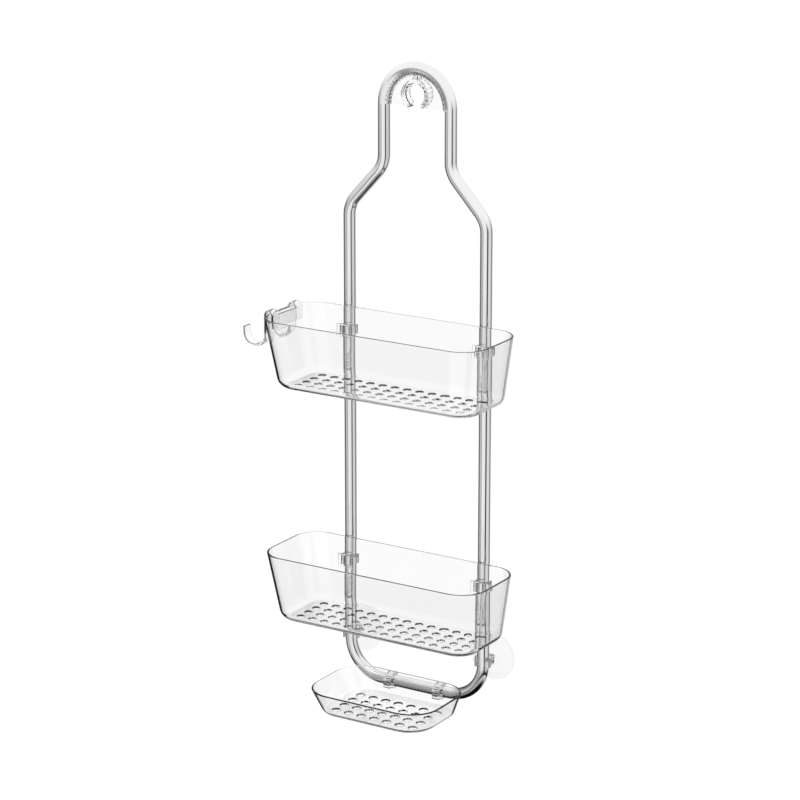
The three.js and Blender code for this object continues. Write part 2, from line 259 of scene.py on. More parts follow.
def block(name, low, high):
    bm = bmesh.new()
    low, high = Vector(low), Vector(high)
    place = Matrix.Translation((low + high) / 2) @ Matrix.Diagonal((*(high - low), 1))
    bmesh.ops.create_cube(bm, size=1, matrix=place)
    return new_object(name, bm)


def rod(name, radius, length, place, sides=48):
    """A cylinder along its own Z, centred at the place."""
    bm = bmesh.new()
    bmesh.ops.create_cone(bm, cap_ends=True, segments=sides, radius1=radius, radius2=radius,
                          depth=length, matrix=place)
    return new_object(name, bm)


def turned(name, profile, place, steps=96):
    """A solid of revolution about its own Z. The profile is (radius, height) pairs from axis to axis."""
    bm = bmesh.new()
    points = [bm.verts.new((r, 0, z)) for r, z in profile]
    edges = [bm.edges.new(pair) for pair in zip(points, points[1:])]
    bmesh.ops.spin(bm, geom=points + edges, cent=(0, 0, 0), axis=(0, 0, 1), angle=2 * math.pi,
                   steps=steps, use_merge=True, use_duplicate=False)
    bmesh.ops.remove_doubles(bm, verts=bm.verts, dist=1e-6)
    bmesh.ops.transform(bm, verts=bm.verts, matrix=place)
    return new_object(name, bm)


def rounded_rectangle(bm, width, depth, corner, segments):
    """A flat face in an empty bmesh, with its back edge on y = 0 and centred in x."""
    half = width / 2
    points = ((-half, -depth), (half, -depth), (half, 0), (-half, 0))
    verts = [bm.verts.new((x, y, 0)) for x, y in points]
    bm.faces.new(verts)
    bmesh.ops.bevel(bm, geom=verts, offset=corner, affect="VERTICES", segments=segments,
                    profile=0.5, material=-1)
    return next(iter(bm.faces))


def swept(name, section, start, heading, moves, closed=True):
    """Carries a section along straight runs and bends in the XZ plane.

    section(bm, place) makes the loop of edges. The heading is an angle from +Z towards +X. A move is
    ("run", length), ("bend", radius, angle), with a positive angle turning right, or ("scale", factor).
    """
    bm = bmesh.new()
    point = Vector(start)
    edges = section(bm, Matrix.Translation(point) @ Matrix.Rotation(heading, 4, "Y"))
    first = edges
    for move in moves:
        ahead = Vector((math.sin(heading), 0, math.cos(heading)))
        beside = Vector((math.cos(heading), 0, -math.sin(heading)))
        if move[0] == "bend":
            radius, angle = move[1:]
            centre = point + beside * math.copysign(radius, angle)
            steps = max(3, round(abs(angle) / ARC_STEP))
            verts = list({vert for edge in edges for vert in edge.verts})
            turn = bmesh.ops.spin(bm, geom=verts + edges, cent=centre, axis=(0, 1, 0), angle=angle,
                                  steps=steps, use_duplicate=False)
            edges = of_kind(turn["geom_last"], bmesh.types.BMEdge)
            point = centre + Matrix.Rotation(angle, 3, "Y") @ (point - centre)
            heading += angle
            continue
        grown = bmesh.ops.extrude_edge_only(bm, edges=edges)["geom"]
        verts = of_kind(grown, bmesh.types.BMVert)
        fresh = set(verts)
        edges = [edge for edge in of_kind(grown, bmesh.types.BMEdge) if fresh.issuperset(edge.verts)]
        if move[0] == "run":
            bmesh.ops.translate(bm, verts=verts, vec=ahead * move[1])
            point = point + ahead * move[1]
        else:
            bmesh.ops.scale(bm, verts=verts, vec=(move[1],) * 3, space=Matrix.Translation(-point))
    if closed:
        bmesh.ops.contextual_create(bm, geom=first)
        bmesh.ops.contextual_create(bm, geom=edges)
    bmesh.ops.remove_doubles(bm, verts=bm.verts, dist=1e-7)
    return new_object(name, bm)


def circle_section(radius):
    def make(bm, place):
        ring = bmesh.ops.create_circle(bm, segments=TUBE_SIDES, radius=radius, matrix=place)
        return list({edge for vert in ring["verts"] for edge in vert.link_edges})
    return make


def strip_section(width, thickness, corner):
    """A rounded rectangle, its width along Y."""
    def make(bm, place):
        face = rounded_rectangle(bm, thickness, width, corner, 4)
        verts = list(face.verts)
        bmesh.ops.translate(bm, verts=verts, vec=(0, width / 2, 0))
        bmesh.ops.transform(bm, verts=verts, matrix=place)
        edges = list(face.edges)
        bmesh.ops.delete(bm, geom=[face], context="FACES_ONLY")
        return edges
    return make


# ---------------------------------------------------------------- materials

def colour(hex_code):
    """sRGB hex to linear RGBA."""
    channels = [int(hex_code[i:i + 2], 16) / 255 for i in (0, 2, 4)]
    linear = [c / 12.92 if c <= 0.04045 else ((c + 0.055) / 1.055) ** 2.4 for c in channels]
    return (*linear, 1.0)


def add(tree, kind, inputs=None, **settings):
    """Adds a node. An input is a value or another node's output."""
    made = tree.nodes.new(kind)
    for key, value in settings.items():
        setattr(made, key, value)
    for key, value in (inputs or {}).items():
        if isinstance(value, bpy.types.NodeSocket):
            tree.links.new(value, made.inputs[key])
        else:
            made.inputs[key].default_value = value
    return made


def new_material(name):
    material = bpy.data.materials.new(name)
    material.use_nodes = True
    material.node_tree.nodes.clear()
    return material, material.node_tree


def close_material(tree, shader):
    add(tree, "ShaderNodeOutputMaterial", {"Surface": shader.outputs[0]})


def chrome_plated_tube():
    """Bright chrome plate on drawn steel tube: a mirror, with the faint ripple of the tube under the plate
    and a slight haze that comes and goes along it."""
    material, tree = new_material("chrome_plated_tube")
    place = add(tree, "ShaderNodeTexCoord").outputs["Object"]
    haze = add(tree, "ShaderNodeTexNoise", {"Vector": place, "Scale": 1 / (25 * MM), "Detail": 4.0})
    rough = add(tree, "ShaderNodeMapRange", {
        "Value": haze.outputs["Fac"], "From Min": 0.3, "From Max": 0.7, "To Min": 0.05, "To Max": 0.1,
    })
    ripple = add(tree, "ShaderNodeTexNoise", {"Vector": place, "Scale": 1 / (9 * MM), "Detail": 2.0})
    bump = add(tree, "ShaderNodeBump", {
        "Height": ripple.outputs["Fac"], "Strength": 0.25, "Distance": 0.02 * MM,
    })
    shader = add(tree, "ShaderNodeBsdfPrincipled", {
        "Base Color": colour("EEEEED"), "Metallic": 1.0, "Roughness": rough.outputs[0],
        "Normal": bump.outputs[0],
    })
    close_material(tree, shader)
    return material


def clear_moulded_plastic():
    """Water-clear injection-moulded polystyrene: polished faces with long, shallow flow ripples and a fine
    haze that only shows in the highlights. The index is a little under the plastic's own 1.59, so that
    several walls in a row stay as clear as the real ones."""
    material, tree = new_material("clear_moulded_polystyrene")
    place = add(tree, "ShaderNodeTexCoord").outputs["Object"]
    haze = add(tree, "ShaderNodeTexNoise", {"Vector": place, "Scale": 1 / (12 * MM), "Detail": 5.0})
    rough = add(tree, "ShaderNodeMapRange", {
        "Value": haze.outputs["Fac"], "From Min": 0.35, "From Max": 0.75, "To Min": 0.0, "To Max": 0.03,
    })
    flow = add(tree, "ShaderNodeTexNoise", {"Vector": place, "Scale": 1 / (60 * MM), "Detail": 1.0})
    bump = add(tree, "ShaderNodeBump", {
        "Height": flow.outputs["Fac"], "Strength": 0.3, "Distance": 0.15 * MM,
    })
    shader = add(tree, "ShaderNodeBsdfPrincipled", {
        "Base Color": colour("FDFDFD"), "Transmission Weight": 1.0, "IOR": 1.45,
        "Roughness": rough.outputs[0], "Normal": bump.outputs[0],
    })
    close_material(tree, shader)
    return material


def clear_soft_vinyl():
    """Soft plasticised PVC: milky and dull beside the hard plastic. The index is well under the vinyl's own
    1.53, so that the thin cups stay as faint as the real ones."""
    material, tree = new_material("clear_soft_vinyl")
    place = add(tree, "ShaderNodeTexCoord").outputs["Object"]
    haze = add(tree, "ShaderNodeTexNoise", {"Vector": place, "Scale": 1 / (6 * MM), "Detail": 4.0})
    rough = add(tree, "ShaderNodeMapRange", {
        "Value": haze.outputs["Fac"], "From Min": 0.3, "From Max": 0.7, "To Min": 0.3, "To Max": 0.42,
    })
    shader = add(tree, "ShaderNodeBsdfPrincipled", {
        "Base Color": colour("FAFAFA"), "Transmission Weight": 1.0, "IOR": 1.3,
        "Roughness": rough.outputs[0],
    })
    close_material(tree, shader)
    return material


CHROME = chrome_plated_tube()
CLEAR = clear_moulded_plastic()
VINYL = clear_soft_vinyl()


# ---------------------------------------------------------------- the tube frame

def tube(name, radius, start, heading, moves):
    """A tube with a real wall and open ends."""
    obj = swept(name, circle_section(radius), start, heading, moves, closed=False)
    modify(obj, "SOLIDIFY", thickness=TUBE_WALL, offset=-1)
    apply_modifiers(obj)
    return obj


def upper_tube():
    """The arch, neck, shoulders and upper legs, with swaged ends that plug into the lower legs."""
    tangent = SHOULDER_BEND * math.tan(SHOULDER_ANGLE / 2)
    sideways = leg_x - neck_x
    shoulder_z = arch_z - NECK_LENGTH - 2 * tangent - sideways / math.tan(SHOULDER_ANGLE)
    slope = sideways / math.sin(SHOULDER_ANGLE) - 2 * tangent
    plug_share = (tube_radius - TUBE_WALL - GAP) / tube_radius
    up = [
        ("run", PLUG_LENGTH), ("scale", 1 / plug_share),
        ("run", shoulder_z - seam_z),
        ("bend", SHOULDER_BEND, SHOULDER_ANGLE), ("run", slope),
        ("bend", SHOULDER_BEND, -SHOULDER_ANGLE), ("run", NECK_LENGTH),
    ]
    down = [
        ("run", NECK_LENGTH), ("bend", SHOULDER_BEND, -SHOULDER_ANGLE), ("run", slope),
        ("bend", SHOULDER_BEND, SHOULDER_ANGLE), ("run", shoulder_z - seam_z),
        ("scale", plug_share), ("run", PLUG_LENGTH),
    ]
    moves = [*up, ("bend", neck_x, math.pi), *down]
    start = (-leg_x, 0, seam_z - PLUG_LENGTH)
    obj = tube("chrome_hanger_tube", tube_radius * plug_share, start, 0.0, moves)
    return finish_piece(obj, CHROME, "frame", "upper_frame")


def lower_tube():
    """The lower legs and the bottom bar, bent from one length."""
    leg = seam_z - bar_z - CORNER_BEND
    moves = [
        ("run", leg), ("bend", CORNER_BEND, -math.pi / 2),
        ("run", 2 * (leg_x - CORNER_BEND)), ("bend", CORNER_BEND, -math.pi / 2), ("run", leg),
    ]
    obj = tube("chrome_leg_tube", tube_radius, (-leg_x, 0, seam_z), math.pi, moves)
    return finish_piece(obj, CHROME, "frame", "lower_frame")


# ---------------------------------------------------------------- the grip on the shower arm

def half_ring(inner_radius, outer_radius):
    """The section of a half-round channel, open towards -X."""
    def section(bm, place):
        ends = []
        for radius in (outer_radius, inner_radius):
            first = bm.verts.new((0, -radius, 0))
            turn = bmesh.ops.spin(bm, geom=[first], cent=(0, 0, 0), axis=(0, 0, 1), angle=math.pi,
                                  steps=24, use_duplicate=False)
            ends.append((first, of_kind(turn["geom_last"], bmesh.types.BMVert)[0]))
        (outer_start, outer_end), (inner_start, inner_end) = ends
        bm.edges.new((outer_start, inner_start))
        bm.edges.new((outer_end, inner_end))
        bmesh.ops.transform(bm, verts=bm.verts, matrix=place)
        return list(bm.edges)
    return section


def liner_slots():
    """Cutters for the row of slots that leaves the liner's inner band as a ladder, clear of the stem."""
    count = int(math.pi * neck_x / LINER_SLOT_PITCH)
    slots = []
    for i in range(count):
        angle = math.pi * (i + 0.5) / count
        if abs(math.cos(angle)) * neck_x < STEM_WIDTH:
            continue
        bm = bmesh.new()
        turn = Matrix.Translation((0, 0, arch_z)) @ Matrix.Rotation(math.pi / 2 - angle, 4, "Y")
        size = Matrix.Diagonal((LINER_SLOT, LINER_SLOT_DEPTH, tube_radius + 2 * LINER_WALL, 1))
        reach = Matrix.Translation((0, 0, neck_x - tube_radius))
        bmesh.ops.create_cube(bm, size=1, matrix=turn @ reach @ size)
        slots.append(new_object("slot", bm))
    return joined("slots", slots)


def shower_arm_grip():
    """One moulding: a slotted liner under the arch, a thin web, a stem and the toothed clamp."""
    inner = tube_radius + GAP
    outer = inner + LINER_WALL
    body = swept("liner", half_ring(inner, outer), (-neck_x, 0, arch_z), 0.0, [("bend", neck_x, math.pi)])
    soften(body, LINER_LIP, 4, 60)
    combine(body, [liner_slots()], "DIFFERENCE")
    web_radius = neck_x - inner - LINER_WALL / 2
    upright = Matrix.Translation((0, 0, arch_z)) @ Matrix.Rotation(math.pi / 2, 4, "X")
    web = rod("web", web_radius, WEB_THICKNESS, upright, 96)
    below = block("below", (-neck_x, -neck_x, arch_z - neck_x), (neck_x, neck_x, arch_z))
    combine(web, [below], "DIFFERENCE")
    bore_radius = ARM_BORE / 2 + TOOTH_HEIGHT
    lying = Matrix.Rotation(math.pi / 2, 4, "X")
    ring = soften(rod("ring", ARM_BORE / 2 + CLAMP_WALL, CLAMP_DEPTH, lying, 96), CLAMP_ROUNDING)
    stem_low = ARM_BORE / 2 + CLAMP_WALL / 2
    stem_top = arch_z + neck_x - inner - LINER_WALL / 2
    half_depth = CLAMP_DEPTH / 2
    stem = block("stem", (-STEM_WIDTH / 2, -half_depth, stem_low), (STEM_WIDTH / 2, half_depth, stem_top))
    combine(body, [web, stem, ring], "UNION")
    combine(body, [rod("bore", bore_radius, 2 * CLAMP_DEPTH, lying, 96)], "DIFFERENCE")
    teeth = []
    for i in range(CLAMP_TEETH):
        angle = math.pi / 2 + TOOTH_ARC * (i / (CLAMP_TEETH - 1) - 0.5)
        place = Matrix.Translation((bore_radius * math.cos(angle), 0, bore_radius * math.sin(angle)))
        teeth.append(rod("tooth", TOOTH_RADIUS, TOOTH_LENGTH, place @ lying, 12))
    combine(body, [joined("teeth", teeth)], "UNION")
    mouth = block("mouth", (-CLAMP_MOUTH / 2, -CLAMP_DEPTH, -ARM_BORE), (CLAMP_MOUTH / 2, CLAMP_DEPTH, -MM))
    combine(body, [mouth], "DIFFERENCE")
    body.name = "clear_arm_grip"
    return finish_piece(body, CLEAR, "frame", "shower_arm_grip", smooth=35)


# ---------------------------------------------------------------- leaning tubs: baskets and soap dish

def tub(name, low, high, corner, wall, lean, back_lean, floor_bend):
    """An open tub in the box from low to high, with a rounded outline, leaning walls and a curved foot."""
    width, depth, height = high.x - low.x, high.y - low.y, high.z - low.z
    bm = bmesh.new()
    top = rounded_rectangle(bm, width, depth, corner, 20)
    shell = bmesh.ops.extrude_face_region(bm, geom=[top])["geom"]
    floor = of_kind(shell, bmesh.types.BMFace)[0]
    verts = list(floor.verts)
    shrink_x = (width - 2 * lean) / width
    shrink_y = (depth - lean - back_lean) / depth
    bmesh.ops.scale(bm, verts=verts, vec=(shrink_x, shrink_y, 1))
    bmesh.ops.translate(bm, verts=verts, vec=(0, -back_lean, -height))
    lid = [face for face in bm.faces if face.calc_center_median().z > -1e-6]
    bmesh.ops.delete(bm, geom=lid, context="FACES_ONLY")
    bmesh.ops.bevel(bm, geom=list(floor.edges), offset=floor_bend, affect="EDGES", segments=10,
                    profile=0.5, material=-1)
    bmesh.ops.translate(bm, verts=bm.verts, vec=((low.x + high.x) / 2, high.y, high.z))
    obj = new_object(name, bm)
    modify(obj, "SOLIDIFY", thickness=wall, offset=-1, use_even_offset=True)
    apply_modifiers(obj)
    return soften(obj, RIM_ROUNDING, 4, 60)


def drain_cutters(low, high, lean, back_lean, floor_bend, margin, pitch, diameter, wall):
    """Round punches with a small flare that leaves a chamfer round each hole."""
    inset = lean + floor_bend + margin
    width = high.x - low.x
    rows = int((high.y - low.y - inset - back_lean - floor_bend - margin) / pitch) + 1
    columns = int((width - 2 * inset) / pitch) + 1
    radius = diameter / 2
    wide = radius + HOLE_FLARE + PUNCH_REACH
    profile = [
        (0, -PUNCH_REACH), (wide, -PUNCH_REACH), (radius, HOLE_FLARE),
        (radius, wall - HOLE_FLARE), (wide, wall + PUNCH_REACH), (0, wall + PUNCH_REACH),
    ]
    punches = []
    for row in range(rows):
        for column in range(columns):
            x = (column - (columns - 1) / 2) * pitch
            centre = Vector((x, low.y + inset + row * pitch, low.z))
            punches.append(turned("punch", profile, Matrix.Translation(centre), 24))
    return joined("punches", punches)


def basket(level):
    """A clear tub with a perforated floor and a window in its back wall for each clip's neck."""
    node = f"{level}_basket"
    low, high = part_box(node)
    obj = tub(f"clear_{node}", low, high, BASKET_CORNER, BASKET_WALL, BASKET_LEAN, BASKET_BACK_LEAN,
              BASKET_FLOOR_BEND)
    punches = drain_cutters(low, high, BASKET_LEAN, BASKET_BACK_LEAN, BASKET_FLOOR_BEND,
                            BASKET_HOLE_MARGIN, BASKET_HOLE_PITCH, BASKET_HOLE, BASKET_WALL)
    combine(obj, [punches], "DIFFERENCE")
    windows = []
    for side in ("left", "right"):
        clip_low, clip_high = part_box(f"{node}_clip_{side}")
        x = (clip_low.x + clip_high.x) / 2
        z = (clip_low.z + clip_high.z) / 2
        half_width = CLIP_NECK_WIDTH / 2 + GAP
        half_height = CLIP_NECK_HEIGHT / 2 + GAP
        windows.append(block("window", (x - half_width, high.y - 4 * BASKET_WALL, z - half_height),
                             (x + half_width, high.y + BASKET_WALL, z + half_height)))
    combine(obj, windows, "DIFFERENCE")
    return finish_piece(obj, CLEAR, node, node, weighted=True)


def open_ring(name, length, centre, axis, mouth_towards=1):
    """A snap ring round a tube along X or Z, open on its +Y or -Y side."""
    inner = tube_radius + GAP
    outer = inner + CLIP_WALL
    sweep = 2 * math.pi - CLIP_MOUTH
    bm = bmesh.new()
    middle = (inner + outer) / 2
    place = Matrix.Translation((0, -middle, 0)) @ Matrix.Rotation(math.pi / 2, 4, "Y")
    face = rounded_rectangle(bm, length, CLIP_WALL, CLIP_ROUNDING, 3)
    verts = list(face.verts)
    bmesh.ops.translate(bm, verts=verts, vec=(0, CLIP_WALL / 2, 0))
    bmesh.ops.transform(bm, verts=verts, matrix=place)
    bmesh.ops.rotate(bm, verts=verts, cent=(0, 0, 0), matrix=Matrix.Rotation(-sweep / 2, 3, "Z"))
    bmesh.ops.spin(bm, geom=verts + list(face.edges) + [face], cent=(0, 0, 0), axis=(0, 0, 1),
                   angle=sweep, steps=40, use_duplicate=False)
    bmesh.ops.contextual_create(bm, geom=[edge for edge in bm.edges if edge.is_boundary])
    turn = Matrix.Rotation(0 if mouth_towards > 0 else math.pi, 4, "Z")
    if axis == "x":
        turn = Matrix.Rotation(math.pi / 2, 4, "Y") @ turn
    bmesh.ops.transform(bm, verts=bm.verts, matrix=Matrix.Translation(centre) @ turn)
    return new_object(name, bm)


def basket_clip(level, side):
    """A snap ring on the leg, a neck through the basket's back wall and a flange inside it."""
    node = f"{level}_basket_clip_{side}"
    low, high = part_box(node)
    x, z = (low.x + high.x) / 2, (low.z + high.z) / 2
    obj = open_ring(f"clear_{node}", CLIP_NECK_HEIGHT, (x, 0, z), "z")
    half = CLIP_NECK_WIDTH / 2
    neck = block("neck", (x - half, low.y + CLIP_FLANGE / 2, z - CLIP_NECK_HEIGHT / 2),
                 (x + half, -tube_radius / 2, z + CLIP_NECK_HEIGHT / 2))
    flange = soften(block("flange", low, (high.x, low.y + CLIP_FLANGE, high.z)), FLANGE_ROUNDING)
    bore = rod("bore", tube_radius + GAP, 3 * CLIP_NECK_HEIGHT, Matrix.Translation((x, 0, z)))
    combine(obj, [neck, flange], "UNION")
    combine(obj, [bore], "DIFFERENCE")
    return finish_piece(obj, CLEAR, f"{level}_basket", node, smooth=35)


# ---------------------------------------------------------------- the hook rack

def hook_rack():
    """Two strips bent over the basket's end wall into J hooks, joined by a plate on each side of the wall."""
    low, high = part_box("hook_rack")
    basket_low, basket_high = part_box("upper_basket")
    rim = basket_high.z
    inner_x = high.x - RACK_STRIP / 2
    outer_x = basket_low.x - GAP - RACK_STRIP / 2
    saddle = (inner_x - outer_x) / 2
    saddle_z = high.z - RACK_STRIP / 2 - saddle
    section = strip_section(RACK_STRIP_WIDTH, RACK_STRIP, RACK_ROUNDING)
    moves = [
        ("run", saddle_z - rim + RACK_INNER_DROP), ("bend", saddle, -math.pi),
        ("run", saddle_z - rim + RACK_OUTER_DROP), ("bend", HOOK_BEND, math.pi), ("run", HOOK_TIP),
    ]
    strips = []
    for y in (low.y + RACK_STRIP_WIDTH / 2, high.y - RACK_STRIP_WIDTH / 2):
        strips.append(swept("strip", section, (inner_x, y, rim - RACK_INNER_DROP), 0.0, moves))
    half = RACK_STRIP / 2
    outer_plate = block("outer", (outer_x - half, low.y, rim - RACK_OUTER_DROP),
                        (outer_x + half, high.y, rim - GAP))
    inner_plate = block("inner", (inner_x - half, low.y, rim - RACK_INNER_DROP),
                        (inner_x + half, high.y, rim - GAP))
    obj, back_strip = strips
    combine(obj, [back_strip, soften(outer_plate, RACK_ROUNDING), soften(inner_plate, RACK_ROUNDING)],
            "UNION")
    obj.name = "clear_hook_rack"
    return finish_piece(obj, CLEAR, "hook_rack", "hook_rack", smooth=35)


# ---------------------------------------------------------------- the soap dish

def soap_dish():
    """A shallow tub with a raised back plate and two snap lugs on the bottom bar."""
    low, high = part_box("soap_dish")
    back_y = -(tube_radius + CLIP_WALL + GAP)
    tub_low = Vector((low.x, low.y, low.z))
    tub_high = Vector((high.x, back_y, low.z + DISH_HEIGHT))
    obj = tub("clear_soap_dish", tub_low, tub_high, DISH_CORNER, DISH_WALL, DISH_LEAN, DISH_BACK_LEAN,
              DISH_FLOOR_BEND)
    punches = drain_cutters(tub_low, tub_high, DISH_LEAN, DISH_BACK_LEAN, DISH_FLOOR_BEND,
                            DISH_HOLE_MARGIN, DISH_HOLE_PITCH, DISH_HOLE, DISH_WALL)
    combine(obj, [punches], "DIFFERENCE")
    bm = bmesh.new()
    tall = high.z - bar_z
    face = rounded_rectangle(bm, PLATE_WIDTH, tall + PLATE_CORNER, PLATE_CORNER, 16)
    thick = bmesh.ops.extrude_face_region(bm, geom=[face])["geom"]
    bmesh.ops.translate(bm, verts=of_kind(thick, bmesh.types.BMVert), vec=(0, 0, DISH_WALL))
    stand = Matrix.Translation((0, back_y, high.z)) @ Matrix.Rotation(math.pi / 2, 4, "X")
    bmesh.ops.transform(bm, verts=bm.verts, matrix=stand)
    bmesh.ops.bisect_plane(bm, geom=bm.verts[:] + bm.edges[:] + bm.faces[:], plane_co=(0, 0, bar_z),
                           plane_no=(0, 0, -1), clear_outer=True)
    bmesh.ops.contextual_create(bm, geom=[edge for edge in bm.edges if edge.is_boundary])
    plate = soften(new_object("plate", bm), PLATE_ROUNDING)
    combine(obj, [plate], "UNION")
    half = LUG_WIDTH / 2
    for side in (-1, 1):
        x = side * (leg_x - CORNER_BEND - LUG_INSET)
        lug = open_ring("lug", LUG_WIDTH, (x, 0, bar_z), "x")
        pad = block("pad", (x - half, back_y - DISH_WALL * 0.75, bar_z - tube_radius),
                    (x + half, -tube_radius / 2, bar_z + tube_radius))
        combine(lug, [pad], "UNION")
        along = Matrix.Translation((x, 0, bar_z)) @ Matrix.Rotation(math.pi / 2, 4, "Y")
        combine(lug, [rod("bore", tube_radius + GAP, 3 * LUG_WIDTH, along)], "DIFFERENCE")
        combine(obj, [lug], "UNION")
    return finish_piece(obj, CLEAR, "soap_dish", "soap_dish", weighted=True)


# ---------------------------------------------------------------- suction cups and their clips

def cup_clip(side):
    """A snap ring on the leg with a boss behind it that holds the cup's neck."""
    node = f"suction_cup_clip_{side}"
    low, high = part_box(node)
    x, z = (low.x + high.x) / 2, (low.z + high.z) / 2
    obj = open_ring(f"clear_{node}", CUP_CLIP_HEIGHT, (x, 0, z), "z", -1)
    half = tube_radius + GAP
    boss = block("boss", (x - half, tube_radius / 2, low.z), (x + half, high.y, high.z))
    soften(boss, CUP_BOSS_ROUNDING)
    combine(obj, [boss], "UNION")
    bore = rod("bore", tube_radius + GAP, 3 * CUP_CLIP_HEIGHT, Matrix.Translation((x, 0, z)))
    combine(obj, [bore], "DIFFERENCE")
    cup_low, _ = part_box(f"suction_cup_{side}")
    depth = high.y - cup_low.y + GAP
    facing_wall = Matrix.Translation((x, high.y, z)) @ Matrix.Rotation(math.pi / 2, 4, "X")
    combine(obj, [rod("socket", CUP_NECK / 2 + GAP, 2 * depth, facing_wall)], "DIFFERENCE")
    return finish_piece(obj, CLEAR, f"suction_cup_{side}", node, smooth=35)


def suction_cup(side):
    """A soft cup, turned about its neck, that flares to a flat lip."""
    node = f"suction_cup_{side}"
    low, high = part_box(node)
    _, clip_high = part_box(f"suction_cup_clip_{side}")
    x, z = (low.x + high.x) / 2, (low.z + high.z) / 2
    rim = (high.x - low.x) / 2
    neck = CUP_NECK / 2
    seat = clip_high.y + GAP
    rise = high.y - seat
    profile = [
        (0, low.y), (neck - CUP_NECK_CHAMFER, low.y), (neck, low.y + CUP_NECK_CHAMFER),
        (neck, seat), (2 * neck, seat), (2.2 * neck, seat + 0.1 * rise), (2.6 * neck, seat + 0.35 * rise),
        (0.45 * rim, seat + 0.5 * rise), (0.64 * rim, seat + 0.62 * rise),
        (rim - CUP_LIP / 2, high.y - CUP_LIP), (rim, high.y - CUP_LIP / 2), (rim, high.y),
        (rim - CUP_LIP_WIDTH, high.y), (0.8 * rim, high.y - 0.1 * rise), (0.6 * rim, high.y - 0.22 * rise),
        (0.3 * rim, high.y - 0.38 * rise), (0, high.y - 0.42 * rise),
    ]
    facing_wall = Matrix.Translation((x, 0, z)) @ Matrix.Rotation(-math.pi / 2, 4, "X")
    obj = turned(f"clear_{node}", profile, facing_wall)
    return finish_piece(obj, VINYL, node, node, smooth=40)


upper_tube()
lower_tube()
shower_arm_grip()
for level in ("upper", "lower"):
    basket(level)
    for side in ("left", "right"):
        basket_clip(level, side)
hook_rack()
soap_dish()
for side in ("left", "right"):
    cup_clip(side)
    suction_cup(side)

for obj in bpy.context.scene.objects:
    if obj.type == "MESH" and obj.active_material in (CLEAR, VINYL):
        obj.visible_shadow = False  # clear plastic lets the light through to what it stands over

# ---------------------------------------------------------------- studio

AZIMUTH = math.radians(31.98)
ELEVATION = math.radians(16.22)
CAMERA_DISTANCE = 3.058
CAMERA_LENS = 138.15  # millimetres on a 36 mm sensor
AIM = Vector((-19.7 * MM, 0, -310.5 * MM))
FLOOR_DROP = 0.6  # below the hanging caddy
FLOOR_RADIUS = 9.0
TENT_RADIUS = 0.85
TENT_HEIGHT = 1.45
# degrees round the tent from the camera, positive to the right, and the shade there
TENT_SHADES = (
    (-180, "F0F0F0"), (-173, "F0F0F0"), (-169, "141414"), (-138, "141414"), (-125, "707070"),
    (-105, "8E8E8E"), (-82, "DADADA"), (-74, "DADADA"), (-66, "A8A8A8"), (-58, "A8A8A8"), (-46, "FFFFFF"),
    (10, "F6F6F6"), (19, "444444"), (35, "444444"), (44, "EEEEEE"), (85, "E6E6E6"), (105, "949494"),
    (132, "6C6C6C"), (142, "C6C6C6"), (169, "C6C6C6"), (174, "F0F0F0"),
)
SKIRT_SHADE = "1C1C1C"
CLOTH_PAINTED_SHADES = ("0C0C0C", "D4D4D4")  # in the middle, a painted shade under the caddy, and at the rim
TENT_FADE = (-0.25, 0.2)  # heights between which the screen fades to white
SKIRT_FADE = (-1.16, -0.9)  # heights between which it rises out of its dark skirt
CLOTH_FADE = (0.42, 0.78)  # radii between which the cloth goes from its painted shade to light


def camera_direction(azimuth, elevation):
    """A unit vector from the object towards a place. Azimuth 0 is its front, and 90 degrees its right."""
    level = math.cos(elevation)
    return Vector((math.sin(azimuth) * level, -math.cos(azimuth) * level, math.sin(elevation)))


def studio_camera():
    data = bpy.data.cameras.new("camera")
    data.sensor_width = 36
    data.lens = CAMERA_LENS
    data.clip_end = 50
    camera = bpy.data.objects.new("camera", data)
    bpy.context.scene.collection.objects.link(camera)
    back = camera_direction(AZIMUTH, ELEVATION)
    camera.location = AIM + back * CAMERA_DISTANCE
    camera.rotation_euler = back.to_track_quat("Z", "Y").to_euler()
    bpy.context.scene.camera = camera


